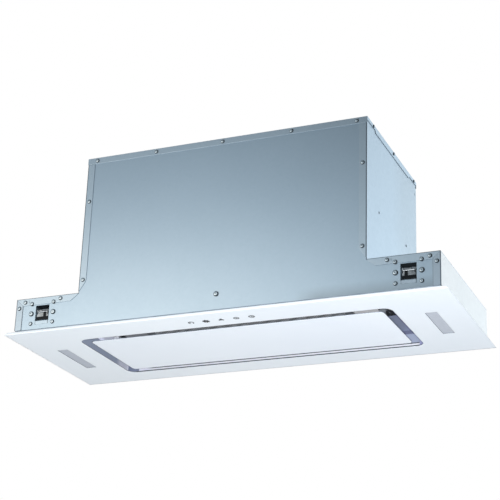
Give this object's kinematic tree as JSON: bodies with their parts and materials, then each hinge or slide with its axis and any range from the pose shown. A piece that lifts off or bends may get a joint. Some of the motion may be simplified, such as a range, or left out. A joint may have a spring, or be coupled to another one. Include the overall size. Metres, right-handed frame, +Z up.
{
  "type": "built-in range hood",
  "caption": "Canopy hood: galvanised housing with a blower and duct collar above a white panel with a swing-down suction plate, lamps and spring clips.",
  "frame": {"origin": "centre of the white panel's underside, at the bottom of the bounding box", "axes": "+X to the right along the long side, +Y from the front with the touch keys to the back, +Z up towards the duct"},
  "size_m": [0.898, 0.354, 0.41],
  "materials": {
    "white_panel": "smooth white gloss paint",
    "seal_rubber": "dark soft seal",
    "galvanised": "galvanised sheet, satin",
    "recess_steel": "satin sheet",
    "bright_steel": "bright zinc plated",
    "filter_aluminium": "satin",
    "black_plastic": "fine grained black",
    "lamp_lens": "frosted diffuser",
    "lamp_tray": "light grey",
    "circuit_board": "green lacquer",
    "copper_pad": "plated pads",
    "motor_alloy": "cast",
    "rubber": "soft black"
  },
  "bodies": {
    "housing": {"canopy_panel": "white_panel", "panel_seal": "seal_rubber", "front_panel": "galvanised", "back_panel": "galvanised", "left_side_panel": "galvanised", "right_side_panel": "galvanised", "top_cover": "galvanised", "left_shoulder": "galvanised", "right_shoulder": "galvanised", "left_end_wall": "galvanised", "right_end_wall": "galvanised", "recess_frame": "recess_steel", "plate_hinge_brackets": "galvanised", "plate_hinge_pins": "bright_steel", "plate_magnets": "black_plastic", "filter_frame": "filter_aluminium", "filter_mesh": "filter_aluminium", "lamp_lens_left": "lamp_lens", "lamp_lens_right": "lamp_lens", "lamp_tray_left": "lamp_tray", "lamp_tray_right": "lamp_tray", "lamp_boards": "circuit_board", "lamp_driver": "lamp_tray", "touch_board": "circuit_board", "touch_pads": "copper_pad", "blower_scroll": "galvanised", "blower_side_left": "galvanised", "blower_side_right": "galvanised", "inlet_ring_left": "black_plastic", "inlet_ring_right": "black_plastic", "motor": "motor_alloy", "motor_bracket": "galvanised", "motor_bushes": "rubber", "outlet_collar": "black_plastic", "damper_pin": "bright_steel", "electrics_box": "lamp_tray", "electrics_cover": "lamp_tray", "capacitor": "lamp_tray", "terminal_block": "lamp_tray", "cable_gland": "black_plastic", "clip_cages": "galvanised", "clip_pins": "bright_steel", "clip_springs": "bright_steel", "housing_screws": "bright_steel", "clip_rivets": "bright_steel", "inner_screws": "bright_steel"},
    "plate": {"suction_plate": "white_panel", "plate_stiffener": "galvanised", "plate_hinge_ears": "galvanised", "plate_strikers": "bright_steel"},
    "latch_left": {"filter_latch_left": "filter_aluminium"},
    "latch_right": {"filter_latch_right": "filter_aluminium"},
    "wheel": {"impeller": "black_plastic", "motor_shaft": "bright_steel"},
    "flap_front": {"damper_flap_front": "black_plastic"},
    "flap_back": {"damper_flap_back": "black_plastic"},
    "claw_front_left": {"clip_claw_front_left": "bright_steel"},
    "claw_front_right": {"clip_claw_front_right": "bright_steel"},
    "claw_back_left": {"clip_claw_back_left": "bright_steel"},
    "claw_back_right": {"clip_claw_back_right": "bright_steel"}
  },
  "joints": [
    {"name": "plate_swing", "type": "hinge", "parent": "housing", "child": "plate", "pos_m": [0, 0.092, 0.012], "axis": [1, 0, 0], "range_deg": [0, 85]},
    {"name": "latch_left_slide", "type": "slide", "parent": "housing", "child": "latch_left", "axis": [0, 1, 0], "range_m": [0, 0.007]},
    {"name": "latch_right_slide", "type": "slide", "parent": "housing", "child": "latch_right", "axis": [0, 1, 0], "range_m": [0, 0.007]},
    {"name": "impeller_spin", "type": "hinge", "parent": "housing", "child": "wheel", "pos_m": [0, -0.03892, 0.215], "axis": [1, 0, 0], "continuous": true},
    {"name": "flap_front_swing", "type": "hinge", "parent": "housing", "child": "flap_front", "pos_m": [0, 0.02708, 0.379], "axis": [-1, 0, 0], "range_deg": [0, 75]},
    {"name": "flap_back_swing", "type": "hinge", "parent": "housing", "child": "flap_back", "pos_m": [0, 0.02708, 0.379], "axis": [1, 0, 0], "range_deg": [0, 75]},
    {"name": "claw_front_left_swing", "type": "hinge", "parent": "housing", "child": "claw_front_left", "pos_m": [0, -0.1595, 0.0505], "axis": [-1, 0, 0], "range_deg": [0, 38]},
    {"name": "claw_front_right_swing", "type": "hinge", "parent": "housing", "child": "claw_front_right", "pos_m": [0, -0.1595, 0.0505], "axis": [-1, 0, 0], "range_deg": [0, 38]},
    {"name": "claw_back_left_swing", "type": "hinge", "parent": "housing", "child": "claw_back_left", "pos_m": [0, 0.1595, 0.0505], "axis": [1, 0, 0], "range_deg": [0, 38]},
    {"name": "claw_back_right_swing", "type": "hinge", "parent": "housing", "child": "claw_back_right", "pos_m": [0, 0.1595, 0.0505], "axis": [1, 0, 0], "range_deg": [0, 38]}
  ]
}
